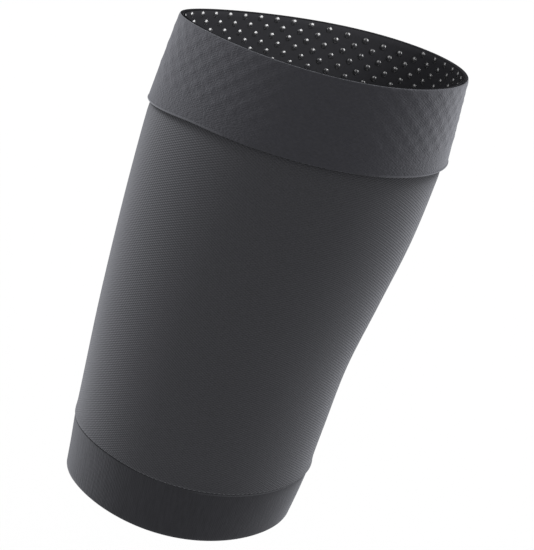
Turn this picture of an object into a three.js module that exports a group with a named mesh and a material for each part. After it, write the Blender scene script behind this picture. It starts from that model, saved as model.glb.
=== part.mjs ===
// Thigh compression sleeve: a tapering knit tube with a wide turned-over grip band at the thigh end,
// a strip of silicone dots inside the band and a narrow turned-up hem at the knee end.
// Millimetres, +Z up the leg. The origin is on the leg's axis at the middle of the grip band, and the
// front of the sleeve faces -Y.
import * as THREE from 'three';

// Driving dimensions
const sides = 44;
const bandTop = 23;
const bandFoot = -23;
const bandFold = 0.95;
const bandRound = 1.3;
const rimDip = 1.85;
const footSag = 2.6;
const footSagStart = 0.6;
const footSagOtherEnd = 0.8;
const pinch = 0.12;
const tubeWall = 1.2;
const hemTop = -215;
const hemFoot = -247;
const hemWall = 2.1;
const hemPly = 0.8;
const hemTuck = 9;
const hemRound = 0.8;
const stripGap = 0.5;
const stripWall = 0.9;
const stripTop = bandTop - 0.3;
const dotRows = 7;
const dotsPerRow = 42;
const dotSides = 10;
const dotRadius = 1.9;
const dotHeight = 0.9;
const dotRowPitch = 4.8;
const firstDotRow = bandTop - 2.6;
const rowStepStart = -0.35;
const rowStepEnd = 0.85;
const stripFoot = firstDotRow - (dotRows - 0.5) * dotRowPitch;
const edgeMargin = 0.05;
const dotPhase = 0.64;

// Section tables of the faces, a row for each level section, from the knee end up. An egg share of
// 0.2 makes the +X end of the oval a fifth deeper than an even oval and the -X end a fifth shallower;
// the pinch makes both ends a little narrower.
//   height, half width, half depth, centre in x, egg share
const tubeRows = [
  [-223, 67.5, 68.3, -21.7, 0.075],
  [-216, 68.0, 68.8, -21.2, 0.079],
  [-215, 68.2, 69.0, -21.2, 0.080],
  [-214.2, 69.7, 70.5, -21.1, 0.080],
  [-190, 70.7, 71.3, -19.6, 0.097],
  [-150, 72.7, 73.1, -16.9, 0.124],
  [-110, 76.3, 76.3, -11.8, 0.151],
  [-70, 79.6, 79.2, -6.4, 0.178],
  [-32, 80.8, 80.1, -2.4, 0.203],
  [-23, 80.2, 79.4, -1.5, 0.209],
  [-12, 79.2, 78.3, -0.4, 0.216],
];
const bandOuterRows = [
  [-23, 82.8, 81.6, -1.4, 0.209],
  [23, 78.6, 77.4, 2.6, 0.240],
];
const bandInnerRows = [
  [-23, 81.0, 79.8, -1.8, 0.209],
  [23, 76.7, 75.5, 2.5, 0.240],
];
const hemRows = [
  [-247, 66.5, 67.5, -23.8, 0.058],
  [-231, 68.1, 69.0, -22.3, 0.069],
  [-215, 69.6, 70.4, -21.2, 0.080],
];

// A face of the sleeve: the smooth section at any height
function face(rows, inset = 0) {
  const heights = rows.map((row) => row[0]);
  const values = rows.flatMap((row) => row.slice(1));
  const curve = new THREE.CubicInterpolant(heights, values, 4);
  return (z) => {
    const [halfWidth, halfDepth, centreX, egg] = curve.evaluate(z);
    return { halfWidth: halfWidth - inset, halfDepth: halfDepth - inset, centreX, egg };
  };
}

// The rim dips in the middle of the front, less and less towards the lower edge of the band
function rimWave(angle, z) {
  const share = THREE.MathUtils.clamp((z - bandFoot) / (bandTop - bandFoot), 0, 1);
  const front = Math.min(Math.sin(angle), 0) ** 2;
  return -rimDip * share * front;
}

function onFace(section, angle, z) {
  const { halfWidth, halfDepth, centreX, egg } = section(z);
  const along = Math.cos(angle);
  const x = centreX + halfWidth * along;
  const y = halfDepth * Math.sin(angle) * (1 + egg * along - pinch * along ** 2);
  return new THREE.Vector3(x, y, z + rimWave(angle, z));
}

// The outline of one section, used to walk round it by its length
class SectionCurve extends THREE.Curve {
  constructor(section, z) {
    super();
    this.section = section;
    this.z = z;
    this.arcLengthDivisions = 720;
  }

  getPoint(turn) {
    return onFace(this.section, 2 * Math.PI * turn, this.z);
  }
}

// The band's lower edge sags at both ends of the oval, most at the -X end
function footWave(angle, z) {
  const share = THREE.MathUtils.clamp((bandTop - z) / (bandTop - bandFoot), 0, 1);
  const sag = footSag * THREE.MathUtils.smoothstep(-Math.cos(angle), footSagStart, 1);
  return -(sag + footSagOtherEnd * Math.max(Math.cos(angle), 0)) * share ** 2;
}

// A closed wall between two faces. Its profile is a list of [share of the wall, height] that starts at
// the foot of the outer face, where the share is 1, and runs up it and down the inner face, share 0.
// A sag, where it has one, lowers each point by its angle and height.
function wall(profile, outerFace, innerFace, sag = () => 0) {
  const roundRing = 100;
  const points = profile.map(([share, z]) => new THREE.Vector2(roundRing + share, z));
  points.push(points[0].clone());
  const geometry = new THREE.LatheGeometry(points, sides);
  const place = geometry.attributes.position;
  for (let i = 0; i < place.count; i += 1) {
    const angle = Math.atan2(place.getX(i), place.getZ(i));
    const share = Math.hypot(place.getX(i), place.getZ(i)) - roundRing;
    const z = place.getY(i);
    const point = onFace(innerFace, angle, z).lerp(onFace(outerFace, angle, z), share);
    place.setXYZ(i, point.x, point.y, point.z + sag(angle, z));
  }
  geometry.computeVertexNormals();
  return geometry;
}

function piece(name, geometry, color, roughness) {
  const mesh = new THREE.Mesh(geometry, new THREE.MeshStandardMaterial({ color, roughness, metalness: 0 }));
  mesh.name = name;
  return mesh;
}

// Compression tube: its upper end is tucked inside the band and its lower end inside the hem
const tubeOuterHeights = [-223, -216, -215, -214.2, -190, -170, -150, -130, -110, -90, -70, -50, -32, -12];
const tubeInnerHeights = [-12, -50, -90, -130, -170, -214.2, -215, -216, -223];
const tubeProfile = [
  ...tubeOuterHeights.map((z) => [1, z]),
  ...tubeInnerHeights.map((z) => [0, z]),
];
const tube = wall(tubeProfile, face(tubeRows), face(tubeRows, tubeWall));

// Grip band: a doubled knit welt, turned over at the rim and rounded under at its lower edge
const bandThird = (bandTop - bandFoot) / 3;
const bandProfile = [
  [0.75, bandFoot],
  [1, bandFoot + bandRound],
  [1, bandFoot + bandThird],
  [1, bandTop - bandThird],
  [1, bandTop - bandFold],
  [0.85, bandTop - 0.3 * bandFold],
  [0.5, bandTop],
  [0.15, bandTop - 0.3 * bandFold],
  [0, bandTop - bandFold],
  [0, 0],
  [0, bandFoot + bandRound],
  [0.25, bandFoot],
];
const band = wall(bandProfile, face(bandOuterRows), face(bandInnerRows), footWave);

// Grip strip: a thin ring inside the band, with rows of low domes on its inner face. Each dome stands
// in a cell of its own, and every other row of cells is moved along by half a cell. The rows step down
// by one row towards the +X end, so a short extra row fits in at the top there, and the last row is cut
// off.
function dottedStrip() {
  const positions = [];
  const faces = [];
  const halfCells = 2 * dotsPerRow;
  const outside = face(bandInnerRows, stripGap);
  const inside = face(bandInnerRows, stripGap + stripWall);
  const domeTop = face(bandInnerRows, stripGap + stripWall + dotHeight);
  const outline = new SectionCurve(inside, 0);
  const halfCell = outline.getLength() / halfCells;
  const angleAt = (place) => 2 * Math.PI * outline.getUtoTmapping(((place + dotPhase) / halfCells) % 1);
  const rowsDown = (angle) => THREE.MathUtils.smoothstep(Math.cos(angle), rowStepStart, rowStepEnd);
  const rowHeight = (row, angle) => firstDotRow - (row + rowsDown(angle)) * dotRowPitch;

  function put(section, angle, z) {
    positions.push(...onFace(section, angle, z).toArray());
    return positions.length / 3 - 1;
  }
  function around(section, z) {
    return Array.from({ length: halfCells }, (_, i) => put(section, angleAt(i), z));
  }
  function addFace(a, b, c) {
    if (a !== b && b !== c && c !== a) faces.push(a, b, c);
  }

  // Lines round the inner face between the rows; one that would pass an edge of the strip is that edge
  const top = around(inside, stripTop);
  const foot = around(inside, stripFoot);
  function lineAbove(row) {
    return top.map((_, i) => {
      const z = rowHeight(row - 0.5, angleAt(i));
      if (z > stripTop - edgeMargin) return top[i];
      if (z < stripFoot + edgeMargin) return foot[i];
      return put(inside, angleAt(i), z);
    });
  }
  const lines = [];
  for (let row = 0; row < dotRows; row += 1) {
    lines.push(lineAbove(row));
  }
  lines.push(foot);
  const outerTop = around(outside, stripTop);
  const outerFoot = around(outside, stripFoot);
  for (let i = 0; i < halfCells; i += 1) {
    const next = (i + 1) % halfCells;
    faces.push(outerTop[i], outerTop[next], top[next], outerTop[i], top[next], top[i]);
    faces.push(foot[i], foot[next], outerFoot[next], foot[i], outerFoot[next], outerFoot[i]);
    faces.push(outerFoot[i], outerFoot[next], outerTop[next], outerFoot[i], outerTop[next], outerTop[i]);
  }

  // One dome and the six-cornered cell around it, cut into triangles on the flat
  function domeCell(corners, centre, height, up, down) {
    const lower = [-halfCell, 0, halfCell].map((u) => [u, -down]);
    const edge = [[-halfCell, up], ...lower, [halfCell, up], [0, up]];
    const circle = [];
    for (let i = 0; i < dotSides; i += 1) {
      const turn = (2 * Math.PI * i) / dotSides;
      circle.push([dotRadius * Math.cos(turn), dotRadius * Math.sin(turn)]);
    }
    const flat = (pairs) => pairs.map(([u, v]) => new THREE.Vector2(u, v));
    const hole = flat(circle).reverse();
    const flatPoints = [...flat(edge), ...hole];
    const rim = circle.map(([u, v]) => put(inside, angleAt(centre + u / halfCell), height + v));
    const apex = put(domeTop, angleAt(centre), height);
    const cell = [...corners, ...[...rim].reverse()];
    THREE.ShapeUtils.triangulateShape(flat(edge), [hole]).forEach(([a, b, c]) => {
      const [p, q, r] = [flatPoints[a], flatPoints[b], flatPoints[c]];
      const turnsLeft = (q.x - p.x) * (r.y - p.y) - (q.y - p.y) * (r.x - p.x) > 0;
      faces.push(cell[a], cell[turnsLeft ? c : b], cell[turnsLeft ? b : c]);
    });
    rim.forEach((point, i) => faces.push(rim[(i + 1) % dotSides], point, apex));
  }

  // The extra row is row -1. A cell has a dome only where the whole of one fits between the strip's edges.
  for (let row = -1; row < dotRows; row += 1) {
    const above = row < 0 ? top : lines[row];
    const below = lines[row + 1];
    for (let dot = 0; dot < dotsPerRow; dot += 1) {
      const before = 2 * dot + Math.abs(row % 2);
      const middle = (before + 1) % halfCells;
      const after = (before + 2) % halfCells;
      const height = rowHeight(row, angleAt(before + 1));
      const up = Math.min(dotRowPitch / 2, stripTop - height);
      const down = Math.min(dotRowPitch / 2, height - stripFoot);
      if (Math.min(up, down) > dotRadius + edgeMargin) {
        const lower = [below[before], below[middle], below[after]];
        const corners = [above[before], ...lower, above[after], above[middle]];
        domeCell(corners, before + 1, height, up, down);
      } else {
        for (const [i, next] of [[before, middle], [middle, after]]) {
          addFace(above[i], below[next], below[i]);
          addFace(above[i], above[next], below[next]);
        }
      }
    }
  }
  const geometry = new THREE.BufferGeometry();
  geometry.setAttribute('position', new THREE.Float32BufferAttribute(positions, 3));
  geometry.setIndex(faces);
  geometry.computeVertexNormals();
  return geometry;
}

// Lower hem: a turned-up welt, rebated inside its top edge for the end of the tube
const rebate = 1 - hemPly / hemWall;
const hemProfile = [
  [0.75, hemFoot],
  [1, hemFoot + hemRound],
  [1, (hemFoot + hemTop) / 2],
  [1, hemTop - hemRound],
  [0.85, hemTop],
  [rebate, hemTop],
  [rebate, hemTop - hemTuck],
  [0, hemTop - hemTuck],
  [0, hemFoot + hemRound],
  [0.25, hemFoot],
];
const hem = wall(hemProfile, face(hemRows), face(hemRows, hemWall));

const sleeve = new THREE.Group();
sleeve.add(piece('compression_tube', tube, '#48484b', 0.9));
sleeve.add(piece('grip_band', band, '#4b4b4f', 0.95));
sleeve.add(piece('grip_strip', dottedStrip(), '#262628', 0.7));
sleeve.add(piece('lower_hem', hem, '#454548', 0.9));

export default sleeve;
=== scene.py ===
import math

import bmesh
import bpy
from mathutils import Matrix, Vector


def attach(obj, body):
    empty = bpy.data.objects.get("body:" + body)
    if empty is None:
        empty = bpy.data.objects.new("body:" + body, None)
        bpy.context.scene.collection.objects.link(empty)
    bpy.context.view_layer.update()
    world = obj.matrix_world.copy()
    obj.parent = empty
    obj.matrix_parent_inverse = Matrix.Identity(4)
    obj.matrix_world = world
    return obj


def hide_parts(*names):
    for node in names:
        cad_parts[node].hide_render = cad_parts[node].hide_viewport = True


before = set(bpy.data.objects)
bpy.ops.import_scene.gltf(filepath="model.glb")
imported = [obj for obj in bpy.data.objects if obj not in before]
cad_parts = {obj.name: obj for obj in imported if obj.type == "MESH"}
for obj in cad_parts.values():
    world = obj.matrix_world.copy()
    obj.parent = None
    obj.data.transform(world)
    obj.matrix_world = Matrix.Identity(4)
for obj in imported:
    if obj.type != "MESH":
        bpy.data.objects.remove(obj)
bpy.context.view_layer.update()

# Compression tube
# A seamless tube of fine charcoal nylon and elastane knit that tapers from the thigh to the knee.
# Its upper end is tucked inside the grip band and its lower end inside the hem.
MM = 0.001
TUBE_WALL = 1.2
WALL_TURNS = 256
# The pinch of the oval's ends, the dip of the rim's front, and the heights of the edges that the tube meets
PINCH = 0.12
RIM_DIP = 1.85
BAND_TOP = 23.0
BAND_FOOT = -23.0
HEM_TOP = -215.0
# Outer face, a row for each level section: height, half width, half depth, centre in x, egg share
TUBE_ROWS = [
    (-223.0, 67.5, 68.3, -21.7, 0.075),
    (-216.0, 68.0, 68.8, -21.2, 0.079),
    (-215.0, 68.3, 69.1, -21.2, 0.080),
    (-214.5, 69.7, 70.5, -21.1, 0.080),
    (-212.6, 70.1, 70.9, -21.0, 0.081),
    (-209.0, 69.9, 70.7, -20.8, 0.083),
    (-190.0, 70.7, 71.3, -19.6, 0.097),
    (-150.0, 72.7, 73.1, -16.9, 0.124),
    (-110.0, 76.3, 76.3, -11.8, 0.151),
    (-70.0, 79.6, 79.2, -6.4, 0.178),
    (-32.0, 80.8, 80.1, -2.4, 0.203),
    (-23.0, 80.2, 79.4, -1.5, 0.209),
    (-12.0, 79.2, 78.3, -0.4, 0.216),
]


def section_at(rows, z):
    """Half width, half depth, centre in x and egg share at a height, on a smooth curve through the rows."""
    z = min(max(z, rows[0][0]), rows[-1][0])
    k = max(i for i in range(len(rows) - 1) if rows[i][0] <= z)
    low, high = rows[k], rows[k + 1]
    before = rows[max(k - 1, 0)]
    after = rows[min(k + 2, len(rows) - 1)]
    step = high[0] - low[0]
    f = (z - low[0]) / step
    found = []
    for c in range(1, 5):
        rise_low = (high[c] - before[c]) / (high[0] - before[0]) * step
        rise_high = (after[c] - low[c]) / (after[0] - low[0]) * step
        value = (2 * f**3 - 3 * f**2 + 1) * low[c] + (3 * f**2 - 2 * f**3) * high[c]
        found.append(value + (f**3 - 2 * f**2 + f) * rise_low + (f**3 - f**2) * rise_high)
    return found


def on_face(rows, angle, z, inset=0.0):
    """The point of a face at an angle and a height, in metres; the front of the rim dips a little."""
    half_width, half_depth, centre, egg = section_at(rows, z)
    along, across = math.cos(angle), math.sin(angle)
    share = min(max((z - BAND_FOOT) / (BAND_TOP - BAND_FOOT), 0.0), 1.0)
    x = centre + (half_width - inset) * along
    y = (half_depth - inset) * across * (1 + egg * along - PINCH * along**2)
    return Vector((x, y, z - RIM_DIP * share * min(across, 0.0) ** 2)) * MM


def girth_shares(rows, z, inset, steps):
    """The share of the way round a section, by its length, at each of a number of even angle steps."""
    ring = [on_face(rows, math.tau * i / steps, z, inset) for i in range(steps + 1)]
    run = [0.0]
    for start, end in zip(ring, ring[1:]):
        run.append(run[-1] + (end - start).length)
    return [length / run[-1] for length in run]


# Points past this share of a wall belong to its outer face
OUTER_FACE = 0.85


def spun_wall(name, profile, outer, inner, turns, sag=None, swell=None):
    """A closed knit wall: a profile of (share of the wall, height) spun round, then laid on two faces.

    Each face is its rows and an inset. Sag gives how far a point at an angle and a height hangs down, and
    swell, from its share of the way round too, how far a point of the outer face stands out, in walls.
    The knit map counts turns one way, by the length round the wall, and millimetres of height the other.
    """
    bm = bmesh.new()
    ring = [bm.verts.new((1.0 + share, 0.0, z)) for share, z in profile]
    edges = [bm.edges.new(pair) for pair in zip(ring, ring[1:] + ring[:1])]
    bmesh.ops.spin(
        bm, geom=ring + edges, cent=(0, 0, 0), axis=(0, 0, 1), angle=math.tau, steps=turns, use_merge=True
    )
    bmesh.ops.recalc_face_normals(bm, faces=bm.faces)
    heights = [z for _, z in profile]
    shares = girth_shares(outer[0], (min(heights) + max(heights)) / 2, outer[1], turns)
    knit = bm.loops.layers.uv.new("knit")
    for face in bm.faces:
        face.smooth = True
        angles = [math.atan2(loop.vert.co.y, loop.vert.co.x) % math.tau for loop in face.loops]
        steps = [round(angle / math.tau * turns) % turns for angle in angles]
        crosses = max(steps) - min(steps) > turns / 2
        for loop, step in zip(face.loops, steps):
            step += turns if crosses and step < turns / 2 else 0
            loop[knit].uv = (shares[step], loop.vert.co.z)
    for vert in bm.verts:
        angle = math.atan2(vert.co.y, vert.co.x)
        share = math.hypot(vert.co.x, vert.co.y) - 1.0
        drop = sag(angle, vert.co.z) if sag else 0.0
        if swell and share > OUTER_FACE:
            share += swell(angle, shares[round(angle % math.tau / math.tau * turns)], vert.co.z)
        place = on_face(inner[0], angle, vert.co.z, inner[1])
        vert.co = place.lerp(on_face(outer[0], angle, vert.co.z, outer[1]), share) - Vector((0, 0, drop * MM))
    mesh = bpy.data.meshes.new(name)
    bm.to_mesh(mesh)
    bm.free()
    piece = bpy.data.objects.new(name, mesh)
    bpy.context.collection.objects.link(piece)
    return piece


def add(tree, kind, links=None, **settings):
    """Adds one node with its settings; links holds each input socket's value or the socket that feeds it."""
    node = tree.nodes.new(kind)
    for key, value in settings.items():
        setattr(node, key, value)
    for key, value in (links or {}).items():
        if isinstance(value, bpy.types.NodeSocket):
            tree.links.new(value, node.inputs[key])
        else:
            node.inputs[key].default_value = value
    return node


def colour(text):
    """An sRGB hex colour as linear red, green, blue and alpha."""
    parts = [int(text[i:i + 2], 16) / 255 for i in (1, 3, 5)]
    return [p / 12.92 if p <= 0.04045 else ((p + 0.055) / 1.055) ** 2.4 for p in parts] + [1.0]


def new_finish(name):
    """A new material and its empty node tree."""
    finish = bpy.data.materials.new(name)
    finish.use_nodes = True
    finish.node_tree.nodes.clear()
    return finish, finish.node_tree


def ripple(tree, around, pitch):
    """A wave over the knit map, with so many crests round the sleeve and one to each pitch in mm up it."""
    knit = add(tree, "ShaderNodeUVMap", uv_map="knit")
    rate = (math.tau * around, math.tau / pitch if pitch else 0.0, 0.0)
    phase = add(tree, "ShaderNodeVectorMath", {0: knit.outputs[0], 1: rate}, operation="DOT_PRODUCT")
    return add(tree, "ShaderNodeMath", {0: phase.outputs["Value"]}, operation="SINE").outputs[0]


def crossed_ripples(tree, around, pitch):
    """Two ripples that lean opposite ways, added up to a lattice."""
    crossed = {0: ripple(tree, around, pitch), 1: ripple(tree, -around, pitch)}
    return add(tree, "ShaderNodeMath", crossed, operation="ADD").outputs[0]


def mottle(tree, size, drawn=1.0):
    """Soft random patches of a size in millimetres, drawn out along the leg."""
    place = add(tree, "ShaderNodeTexCoord")
    turned = add(
        tree, "ShaderNodeMapping", {"Vector": place.outputs["Object"], "Scale": (1.0, 1.0, 1.0 / drawn)}
    )
    noise = add(
        tree, "ShaderNodeTexNoise",
        {"Vector": turned.outputs[0], "Scale": 1 / (size * MM), "Detail": 2.0, "Roughness": 0.55},
    )
    return noise.outputs["Fac"]


def charcoal_yarn(tree, dark, light, tone, relief, sheen):
    """Dyed nylon yarn: matt charcoal with a pale grazing sheen.

    The tone socket, from 0 to 1, runs from the dark to the light colour and from the rougher to the
    smoother end. Relief is pairs of a height socket and its depth in millimetres.
    """
    tint = add(
        tree, "ShaderNodeMix", {"Factor": tone, "A": colour(dark), "B": colour(light)}, data_type="RGBA"
    )
    worn = add(
        tree, "ShaderNodeMapRange",
        {"Value": tone, "From Min": 0.25, "From Max": 0.75, "To Min": 0.8, "To Max": 0.6},
    )
    normal = None
    for height, depth in relief:
        bump = add(tree, "ShaderNodeBump", {"Height": height, "Strength": 1.0, "Distance": depth * MM})
        if normal:
            tree.links.new(normal, bump.inputs["Normal"])
        normal = bump.outputs[0]
    skin = add(
        tree, "ShaderNodeBsdfPrincipled",
        {
            "Base Color": tint.outputs["Result"], "Roughness": worn.outputs[0], "Normal": normal,
            "IOR": 1.5, "Specular IOR Level": 0.0,
            "Sheen Weight": sheen, "Sheen Roughness": 0.5, "Sheen Tint": colour("#f0f2fa"),
        },
    )
    add(tree, "ShaderNodeOutputMaterial", {"Surface": skin.outputs[0]})


def eased(value, low, high):
    """A smooth step from 0 to 1 as the value goes from low to high."""
    f = min(max((value - low) / (high - low), 0.0), 1.0)
    return f * f * (3 - 2 * f)


# A groove parts the tube from the hem at the -X end. Towards the front the tube's lip hangs down over it, and
# round the +X end the seam stands out as a low ridge that the tube and the hem share.
GROOVE = 0.45
GROOVE_FADE = 9.0
LIP_EDGE = 0.45
LIP_ROUND = 0.6
RIDGE = 0.45
RIDGE_CREST = 0.5
RIDGE_OVER = 3.0
# Cosines of the angles between which the groove closes and the ridge rises
GROOVE_CLOSES = (-0.6, -0.15)
RIDGE_RISES = (-0.05, 0.35)


def ridge_share(angle):
    """How much of the ridge there is at an angle."""
    return eased(math.cos(angle), *RIDGE_RISES)


def lip_sag(angle, z):
    """How far the tube's lip hangs down over the groove; what is tucked in below its edge doesn't hang."""
    if z <= HEM_TOP + LIP_EDGE:
        return 0.0
    closed = eased(math.cos(angle), *GROOVE_CLOSES)
    return GROOVE * closed * eased(-z, -HEM_TOP - GROOVE_FADE, -HEM_TOP - LIP_ROUND)


def lip_swell(angle, turn, z):
    """How far the tube's lip stands out at the ridge, in walls."""
    near = eased(-z, -HEM_TOP - RIDGE_OVER, -HEM_TOP - RIDGE_CREST)
    return RIDGE / TUBE_WALL * ridge_share(angle) * near


# Rings 0.1 mm apart shape the lip, and from there up they are 4 mm apart
tube_heights = [-223.0, -219.0] + [HEM_TOP + 0.1 * i for i in range(-2, 16)]
tube_heights += [-212.0 + 4.0 * i for i in range(51)]
tube_outside = [(1.0, z) for z in tube_heights]
tube_inside = [(0.0, z) for _, z in reversed(tube_outside)]
tube = spun_wall(
    "knit_tube", tube_outside + tube_inside,
    (TUBE_ROWS, 0.0), (TUBE_ROWS, TUBE_WALL), WALL_TURNS, lip_sag, lip_swell,
)
# A fine lattice of loops whose legs lean both ways: matt in front, with close lines towards the sides. It is
# drawn two or three times as coarse as the real gauge so it shows.
LATTICE_ROUND = 160
LATTICE_PITCH = 1.4
tube_finish, tree = new_finish("nylon_elastane_knit")
lattice = crossed_ripples(tree, LATTICE_ROUND, LATTICE_PITCH)
fibres = mottle(tree, size=0.9)
charcoal_yarn(tree, "#29292b", "#37373a", tone=fibres, relief=[(lattice, 0.056), (fibres, 0.06)], sheen=0.25)
tube.data.materials.append(tube_finish)
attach(tube, "root")
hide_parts("compression_tube")

# Lower hem
# The knee end of the knit turned up on itself, a doubled welt with a shallow groove along its top edge.
# It is the same charcoal yarn, knitted as fine upright ribs, and the tube runs into it.
HEM_FOOT = -247.0
HEM_WALL = 2.1
HEM_PLY = 0.8
HEM_TUCK = 9.0
HEM_ROUND = 0.9
RIDGE_UNDER = 1.3
# Outer face: height, half width, half depth, centre in x, egg share
HEM_ROWS = [
    (-247.0, 66.5, 67.5, -23.8, 0.058),
    (-231.0, 68.1, 69.0, -22.3, 0.069),
    (-215.0, 69.6, 70.4, -21.2, 0.080),
]


def hem_swell(angle, turn, z):
    """How far the hem's top edge stands out at the ridge, in walls."""
    crest = HEM_TOP - RIDGE_CREST
    return RIDGE / HEM_WALL * ridge_share(angle) * eased(z, crest - RIDGE_UNDER, crest)


# Rings 2.4 mm apart, then 0.2 mm apart under the ridge; the inner face has a rebate for the end of the tube
rebate = 1 - HEM_PLY / HEM_WALL
hem_outside = [(1.0, HEM_FOOT + HEM_ROUND + 2.4 * i) for i in range(12)]
hem_outside += [(1.0, HEM_TOP - 3.2 + 0.2 * i) for i in range(15)]
hem_top = [(0.98, HEM_TOP - 0.15), (0.9, HEM_TOP), (0.75, HEM_TOP), (rebate, HEM_TOP - 0.2)]
hem_inside = [(rebate, HEM_TOP - HEM_TUCK), (0.0, HEM_TOP - HEM_TUCK)]
hem_inside += [(0.0, (HEM_TOP + HEM_FOOT) / 2), (0.0, HEM_FOOT + HEM_ROUND)]
hem_foot = [(0.08, HEM_FOOT + 0.35), (0.25, HEM_FOOT), (0.5, HEM_FOOT - 0.05)]
hem_foot += [(0.75, HEM_FOOT), (0.92, HEM_FOOT + 0.35)]
hem = spun_wall(
    "turned_hem", hem_outside + hem_top + hem_inside + hem_foot,
    (HEM_ROWS, 0.0), (HEM_ROWS, HEM_WALL), WALL_TURNS, swell=hem_swell,
)
# Fine upright ribs, about a millimetre apart, that fade in and out along the leg; flat and matt
RIBS_ROUND = 400
hem_finish, tree = new_finish("doubled_rib_knit")
ribs = ripple(tree, RIBS_ROUND, 0.0)
streaks = mottle(tree, size=1.2, drawn=8.0)
charcoal_yarn(tree, "#1f1f21", "#2a2a2d", tone=streaks, relief=[(ribs, 0.025), (streaks, 0.15)], sheen=0.21)
hem.data.materials.append(hem_finish)
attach(hem, "root")
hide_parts("lower_hem")

# Grip band
# A wide welt of softer brushed knit in a mixed charcoal yarn, turned over at the rim and standing proud of
# the tube below. Inside, its fold is near-black tape, as painted shade; its lower edge is left as a fine bead
# of yarn.
FOOT_SAG = 2.6
FOOT_SAG_STARTS = 0.6
FOOT_SAG_OTHER_END = 0.8
# Faces: height, half width, half depth, centre in x, egg share
BAND_OUTER_ROWS = [
    (-23.0, 82.8, 81.6, -1.4, 0.209),
    (23.0, 78.6, 77.4, 2.6, 0.240),
]
BAND_INNER_ROWS = [
    (-23.0, 81.0, 79.8, -1.8, 0.209),
    (23.0, 76.7, 75.5, 2.5, 0.240),
]


def foot_sag(angle, z):
    """How far the band hangs down: its lower edge sags at both ends of the oval, most at the -X end."""
    share = min(max((BAND_TOP - z) / (BAND_TOP - BAND_FOOT), 0.0), 1.0)
    sag = FOOT_SAG * eased(-math.cos(angle), FOOT_SAG_STARTS, 1.0)
    return (sag + FOOT_SAG_OTHER_END * max(math.cos(angle), 0.0)) * share**2


# The silicone dots inside press through as soft bumps, in staggered rows that step down towards the +X end,
# between two cosines of the angle. The bumps' height is in walls.
DOT_ROWS = 7
DOTS_PER_ROW = 42
DOT_ROW_PITCH = 4.8
FIRST_DOT_ROW = BAND_TOP - 2.6
LAST_DOT_ROW = FIRST_DOT_ROW - (DOT_ROWS - 1) * DOT_ROW_PITCH
DOT_PHASE = 0.82
ROWS_STEP_DOWN = (-0.35, 0.85)
IMPRINT = 0.15
# The lower edge curls out in a fine bead, most at both ends of the oval: height in walls, width, and the size
# of the angle's cosine where it starts and is full
BEAD = 0.2
BEAD_WIDTH = 1.2
BEAD_RISES = (0.3, 0.75)


def rows_down(angle):
    """How many rows of dots the rows have stepped down by at an angle."""
    return eased(math.cos(angle), *ROWS_STEP_DOWN)


def band_swell(angle, turn, z):
    """How far the outer face stands out: at the dots' bumps and, along the lower edge, at the bead."""
    row = (FIRST_DOT_ROW - z) / DOT_ROW_PITCH - rows_down(angle)
    along = math.cos(math.tau * (turn * DOTS_PER_ROW - DOT_PHASE))
    fade = eased(z, LAST_DOT_ROW - DOT_ROW_PITCH, LAST_DOT_ROW) * eased(-z, -BAND_TOP, -FIRST_DOT_ROW)
    bump = IMPRINT * fade * (0.5 + 0.5 * along * math.cos(math.pi * row)) ** 2
    curl = math.sin(math.pi * min(max((z - BAND_FOOT) / BEAD_WIDTH, 0.0), 1.0))
    return bump + BEAD * curl * eased(abs(math.cos(angle)), *BEAD_RISES)


# Ten steps of the spin to each dot, and rings a millimetre apart between the bead and the fold
BAND_TURNS = 10 * DOTS_PER_ROW
FOLD_DEPTH = 1.0
outside_foot = BAND_FOOT + 1.4
inside_foot = BAND_FOOT + 0.4
fold_foot = BAND_TOP - FOLD_DEPTH
band_outside = [(1.0, outside_foot + (fold_foot - outside_foot) * i / 44) for i in range(45)]
band_fold = [(0.98, BAND_TOP - 0.5), (0.94, BAND_TOP - 0.2), (0.87, BAND_TOP - 0.05), (0.8, BAND_TOP)]
band_fold += [(0.6, BAND_TOP - 0.1), (0.4, BAND_TOP - 0.3), (0.2, BAND_TOP - 0.6)]
band_inside = [(0.0, fold_foot + (inside_foot - fold_foot) * i / 10) for i in range(11)]
band_foot = [(0.1, BAND_FOOT + 0.1), (0.3, BAND_FOOT), (0.6, BAND_FOOT), (0.95, BAND_FOOT + 0.1)]
band_bead = [(1.0, BAND_FOOT + BEAD_WIDTH * share) for share in (0.3, 0.55, 0.8, 1.0)]
band = spun_wall(
    "turned_band", band_outside + band_fold + band_inside + band_foot + band_bead,
    (BAND_OUTER_ROWS, 0.0), (BAND_INNER_ROWS, 0.0), BAND_TURNS, foot_sag, band_swell,
)
# A brushed twill face, matt and slightly fuzzy: soft tufts lying round the leg over a fine slanting grain,
# which shows in patches. The grain is drawn about twice as coarse as the real gauge so it shows.
GRAIN_ROUND = 230
GRAIN_PITCH = 1.4
band_finish, tree = new_finish("brushed_melange_knit")
tufts = mottle(tree, size=1.8, drawn=0.6)
fibres = mottle(tree, size=0.8, drawn=0.6)
patches = add(
    tree, "ShaderNodeMapRange",
    {"Value": mottle(tree, size=4.0), "From Min": 0.4, "From Max": 0.65, "To Min": 0.2, "To Max": 1.0},
)
slant = crossed_ripples(tree, GRAIN_ROUND, GRAIN_PITCH)
grain = add(tree, "ShaderNodeMath", {0: slant, 1: patches.outputs[0]}, operation="MULTIPLY")
charcoal_yarn(
    tree, "#28282b", "#333337", tone=tufts,
    relief=[(tufts, 0.32), (fibres, 0.13), (grain.outputs[0], 0.028)], sheen=0.25,
)
band.data.materials.append(band_finish)
# Painted shade: the fold's inner half is near-black tape without nap, standing in for the shade there
SHADE_TAPE_INDEX = 1
shade_tape_finish, tree = new_finish("painted_shade_tape")
fibres = mottle(tree, size=1.0)
charcoal_yarn(tree, "#141415", "#1d1d1f", tone=fibres, relief=[(fibres, 0.05)], sheen=0.0)
band.data.materials.append(shade_tape_finish)
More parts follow.
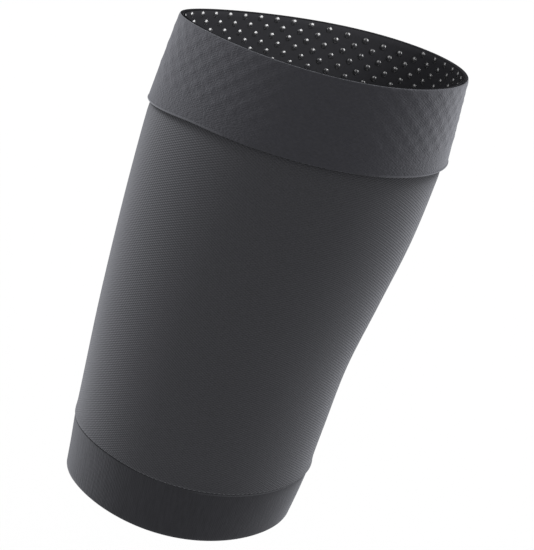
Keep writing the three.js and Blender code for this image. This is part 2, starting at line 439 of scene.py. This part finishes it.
# The bead is a loose yarn, whose raised nap is pale at a grazing angle; it shows at both ends of the oval
EDGE_YARN_INDEX = 2
EDGE_YARN_WIDTH = 0.85 * BEAD_WIDTH
EDGE_YARN_ENDS = 0.5
edge_finish, tree = new_finish("napped_edge_yarn")
fibres = mottle(tree, size=1.0)
charcoal_yarn(tree, "#28282b", "#333337", tone=fibres, relief=[(fibres, 0.05)], sheen=0.4)
band.data.materials.append(edge_finish)
# The fold's inner faces take the painted shade; the bead's faces at both ends of the oval take the edge yarn
heights = [loop.uv[1] for loop in band.data.uv_layers["knit"].data]
for face in band.data.polygons:
    outward = Vector((face.center.x, face.center.y, 0.0)).normalized()
    above_foot = sum(heights[i] for i in face.loop_indices) / len(face.loop_indices) - BAND_FOOT
    if face.center.z > (fold_foot - RIM_DIP) * MM and face.normal.dot(outward) < 0.1:
        face.material_index = SHADE_TAPE_INDEX
    elif 0.0 < above_foot < EDGE_YARN_WIDTH and abs(outward.x) > EDGE_YARN_ENDS:
        face.material_index = EDGE_YARN_INDEX
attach(band, "root")
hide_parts("grip_band")

# Grip strip
# A flat band of dark elastic inside the turned-over rim, held against the band.
# It is woven tight and smooth, nearly black, and carries the silicone dots.
STRIP_GAP = 0.5
STRIP_WALL = 0.9
STRIP_TOP = BAND_TOP - 0.3
STRIP_FOOT = -10.8
STRIP_ROUND = 0.2
strip_height = STRIP_TOP - STRIP_FOOT - 2 * STRIP_ROUND
strip_inside = [(0.0, STRIP_TOP - STRIP_ROUND - strip_height * i / 10) for i in range(11)]
strip_outside = [(1.0, z) for _, z in reversed(strip_inside)]
strip_top = [(0.8, STRIP_TOP), (0.2, STRIP_TOP)]
strip_foot = [(0.2, STRIP_FOOT), (0.8, STRIP_FOOT)]
strip = spun_wall(
    "grip_elastic", strip_outside + strip_top + strip_inside + strip_foot,
    (BAND_INNER_ROWS, STRIP_GAP), (BAND_INNER_ROWS, STRIP_GAP + STRIP_WALL), WALL_TURNS,
)
# A close plain weave without nap, nearly smooth; its top edge is the near-black tape of painted shade
WEAVE_ROUND = 300
WEAVE_PITCH = 1.5
elastic_finish, tree = new_finish("dark_elastic")
weave = ripple(tree, WEAVE_ROUND, WEAVE_PITCH)
fibres = mottle(tree, size=1.0)
charcoal_yarn(tree, "#272729", "#333336", tone=fibres, relief=[(weave, 0.01), (fibres, 0.05)], sheen=0.0)
strip.data.materials.append(elastic_finish)
strip.data.materials.append(shade_tape_finish)
# Painted shade: the elastic's top edge takes the near-black tape too
for face in strip.data.polygons:
    if face.center.z > (STRIP_TOP - RIM_DIP - FOLD_DEPTH) * MM and face.normal.z > 0.3:
        face.material_index = SHADE_TAPE_INDEX
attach(strip, "root")
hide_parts("grip_strip")

# Silicone dots
# Low domes of clear silicone, printed on the inner face of the elastic in staggered rows and cured.
# Each is sunk a little into the elastic, so no gap shows under its edge.
DOT_RADIUS = 1.9
DOT_HEIGHT = 1.0
DOT_SUNK = 0.1
DOME_SIDES = 12
DOME_RINGS = 4
EDGE_MARGIN = 0.05
GIRTH_STEPS = 720
dot_inset = STRIP_GAP + STRIP_WALL - DOT_SUNK
girth = girth_shares(BAND_INNER_ROWS, 0.0, dot_inset, GIRTH_STEPS)


def angle_at(share):
    """The angle at a share of the way round the strip, by its length."""
    share %= 1.0
    k = max(i for i in range(GIRTH_STEPS) if girth[i] <= share)
    return math.tau / GIRTH_STEPS * (k + (share - girth[k]) / (girth[k + 1] - girth[k]))


bm = bmesh.new()
dome_profile = [bm.verts.new((0.0, 0.0, 0.0))]
for i in range(DOME_RINGS + 1):
    lift = math.pi / 2 * i / DOME_RINGS
    reach, rise = DOT_RADIUS * math.cos(lift), DOT_HEIGHT * math.sin(lift)
    dome_profile.append(bm.verts.new((reach * MM, 0.0, rise * MM)))
dome_profile[-1].co.x = 0.0
dome_edges = [bm.edges.new(pair) for pair in zip(dome_profile, dome_profile[1:])]
bmesh.ops.spin(
    bm, geom=dome_profile + dome_edges, cent=(0, 0, 0), axis=(0, 0, 1), angle=math.tau,
    steps=DOME_SIDES, use_merge=True,
)
bmesh.ops.remove_doubles(bm, verts=bm.verts, dist=1e-6)
bmesh.ops.recalc_face_normals(bm, faces=bm.faces)
for part in bm.faces[:] + bm.edges[:]:
    part.smooth = any(vert.co.z > 1e-6 for vert in part.verts)
dome_verts = bm.verts[:]
dome = dome_verts + bm.edges[:] + bm.faces[:]
# The rows step down by one towards the +X end, so an extra row fits in above there and the last is cut off
for row in range(-1, DOT_ROWS):
    for dot in range(DOTS_PER_ROW):
        angle = angle_at((dot + DOT_PHASE + 0.5 * (row % 2)) / DOTS_PER_ROW)
        height = FIRST_DOT_ROW - (row + rows_down(angle)) * DOT_ROW_PITCH
        if min(STRIP_TOP - height, height - STRIP_FOOT) < DOT_RADIUS + EDGE_MARGIN:
            continue
        centre = on_face(BAND_INNER_ROWS, angle, height, dot_inset)
        across = (on_face(BAND_INNER_ROWS, angle + 0.01, height, dot_inset) - centre).normalized()
        up = (on_face(BAND_INNER_ROWS, angle, height + 1.0, dot_inset) - centre).normalized()
        inward = up.cross(across).normalized()
        place = Matrix((across, inward.cross(across), inward)).transposed().to_4x4()
        place.translation = centre
        copy = bmesh.ops.duplicate(bm, geom=dome)["geom"]
        copy_verts = [part for part in copy if isinstance(part, bmesh.types.BMVert)]
        bmesh.ops.transform(bm, matrix=place, verts=copy_verts)
bmesh.ops.delete(bm, geom=dome_verts, context="VERTS")
dots_mesh = bpy.data.meshes.new("silicone_dots")
bm.to_mesh(dots_mesh)
bm.free()
dots = bpy.data.objects.new("silicone_dots", dots_mesh)
bpy.context.collection.objects.link(dots)
# Smooth and glossy, with the dark of the elastic behind it, so mostly its glints are seen
silicone, tree = new_finish("clear_silicone")
milk = add(
    tree, "ShaderNodeMix",
    {"Factor": mottle(tree, size=2.5), "A": colour("#232325"), "B": colour("#2e2e31")}, data_type="RGBA",
)
gel = add(
    tree, "ShaderNodeBsdfPrincipled",
    {
        "Base Color": milk.outputs["Result"], "Roughness": 0.25, "IOR": 1.41,
        "Coat Weight": 1.0, "Coat Roughness": 0.32, "Coat IOR": 1.5,
    },
)
add(tree, "ShaderNodeOutputMaterial", {"Surface": gel.outputs[0]})
dots.data.materials.append(silicone)
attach(dots, "root")

# Floor
# A pale sheet of studio paper, as far below the sleeve as the ground is below a thigh.
# It is matt, without any gloss.
FLOOR_DROP = 0.75
FLOOR_HALF = 20.0
bm = bmesh.new()
bmesh.ops.create_grid(bm, x_segments=1, y_segments=1, size=FLOOR_HALF)
bmesh.ops.translate(bm, verts=bm.verts, vec=(0.0, 0.0, -FLOOR_DROP))
floor_mesh = bpy.data.meshes.new("studio_floor")
bm.to_mesh(floor_mesh)
bm.free()
floor = bpy.data.objects.new("studio_floor", floor_mesh)
bpy.context.collection.objects.link(floor)
paper, tree = new_finish("white_paper")
sheet = add(
    tree, "ShaderNodeBsdfPrincipled",
    {"Base Color": colour("#f9f9f9"), "Roughness": 1.0, "Specular IOR Level": 0.0},
)
add(tree, "ShaderNodeOutputMaterial", {"Surface": sheet.outputs[0]})
floor.data.materials.append(paper)

# Studio light
# A white surround, which no gloss shows. Two soft boxes behind the sides rake along the outer cloth, two
# beside the front give the silicone its glints, and one fills the inside of the band. Each box lights its
# own pieces alone.
world = bpy.data.worlds.new("white_surround")
bpy.context.scene.world = world
world.use_nodes = True
world.node_tree.nodes["Background"].inputs["Color"].default_value = colour("#ffffff")
world.node_tree.nodes["Background"].inputs["Strength"].default_value = 1.06
world.cycles_visibility.glossy = False


def lit_group(name, pieces):
    """A collection of the pieces that a soft box lights."""
    group = bpy.data.collections.new(name)
    for piece in pieces:
        group.objects.link(piece)
    return group


outer_cloth = lit_group("outer_cloth", [tube, hem, band])
glossy_dots = lit_group("glossy_dots", [dots])
grip_lining = lit_group("grip_lining", [strip, dots])
TARGET = Vector((0.0, 0.0, -0.1103))
# A row for each box: name, degrees round from the front to the right, degrees up, reach, width, height, watts
# and the pieces that it lights
SOFT_BOXES = [
    ("left_rim", -120.0, 34.0, 1.30, 0.40, 0.60, 30.0, outer_cloth),
    ("right_rim", 112.0, 56.0, 0.65, 0.25, 0.35, 6.0, outer_cloth),
    ("left_glint", -65.0, 24.0, 1.30, 1.10, 2.40, 34.0, glossy_dots),
    ("right_glint", 68.0, 24.0, 1.30, 2.00, 2.40, 180.0, glossy_dots),
    ("inside_fill", 43.0, 32.0, 1.30, 0.60, 0.60, 16.0, grip_lining),
]
for name, azimuth, elevation, reach, width, height, watts, lit_pieces in SOFT_BOXES:
    lamp = bpy.data.lights.new(name, "AREA")
    lamp.shape = "RECTANGLE"
    lamp.size = width
    lamp.size_y = height
    lamp.energy = watts
    box = bpy.data.objects.new(name, lamp)
    turn, lift = math.radians(azimuth), math.radians(elevation)
    aim = Vector((math.sin(turn) * math.cos(lift), -math.cos(turn) * math.cos(lift), math.sin(lift)))
    box.location = TARGET + reach * aim
    box.rotation_euler = aim.to_track_quat("Z", "Y").to_euler()
    box.visible_camera = False
    box.visible_diffuse = lit_pieces != glossy_dots
    box.visible_glossy = lit_pieces != grip_lining
    box.light_linking.receiver_collection = lit_pieces
    bpy.context.collection.objects.link(box)

# Camera
# The photograph's view: from the front, a little above the rim, with the sleeve leaning to the right.
# Its colours are shown as they are, without a film look.
ELEVATION = math.radians(18.145)
ROLL = math.radians(12.79)
DISTANCE = 0.8499
FOCAL_PIXELS = 1520.0
LONG_SIDE_PIXELS = 550.0
view = bpy.data.cameras.new("photo_view")
view.sensor_width = 36.0
view.lens = view.sensor_width * FOCAL_PIXELS / LONG_SIDE_PIXELS
view.clip_end = 100.0
camera = bpy.data.objects.new("photo_view", view)
camera.location = TARGET + DISTANCE * Vector((0.0, -math.cos(ELEVATION), math.sin(ELEVATION)))
aim = (TARGET - camera.location).to_track_quat("-Z", "Y").to_matrix()
camera.rotation_euler = (aim @ Matrix.Rotation(ROLL, 3, "Z")).to_euler()
bpy.context.collection.objects.link(camera)
bpy.context.scene.camera = camera
bpy.context.scene.view_settings.view_transform = "Standard"
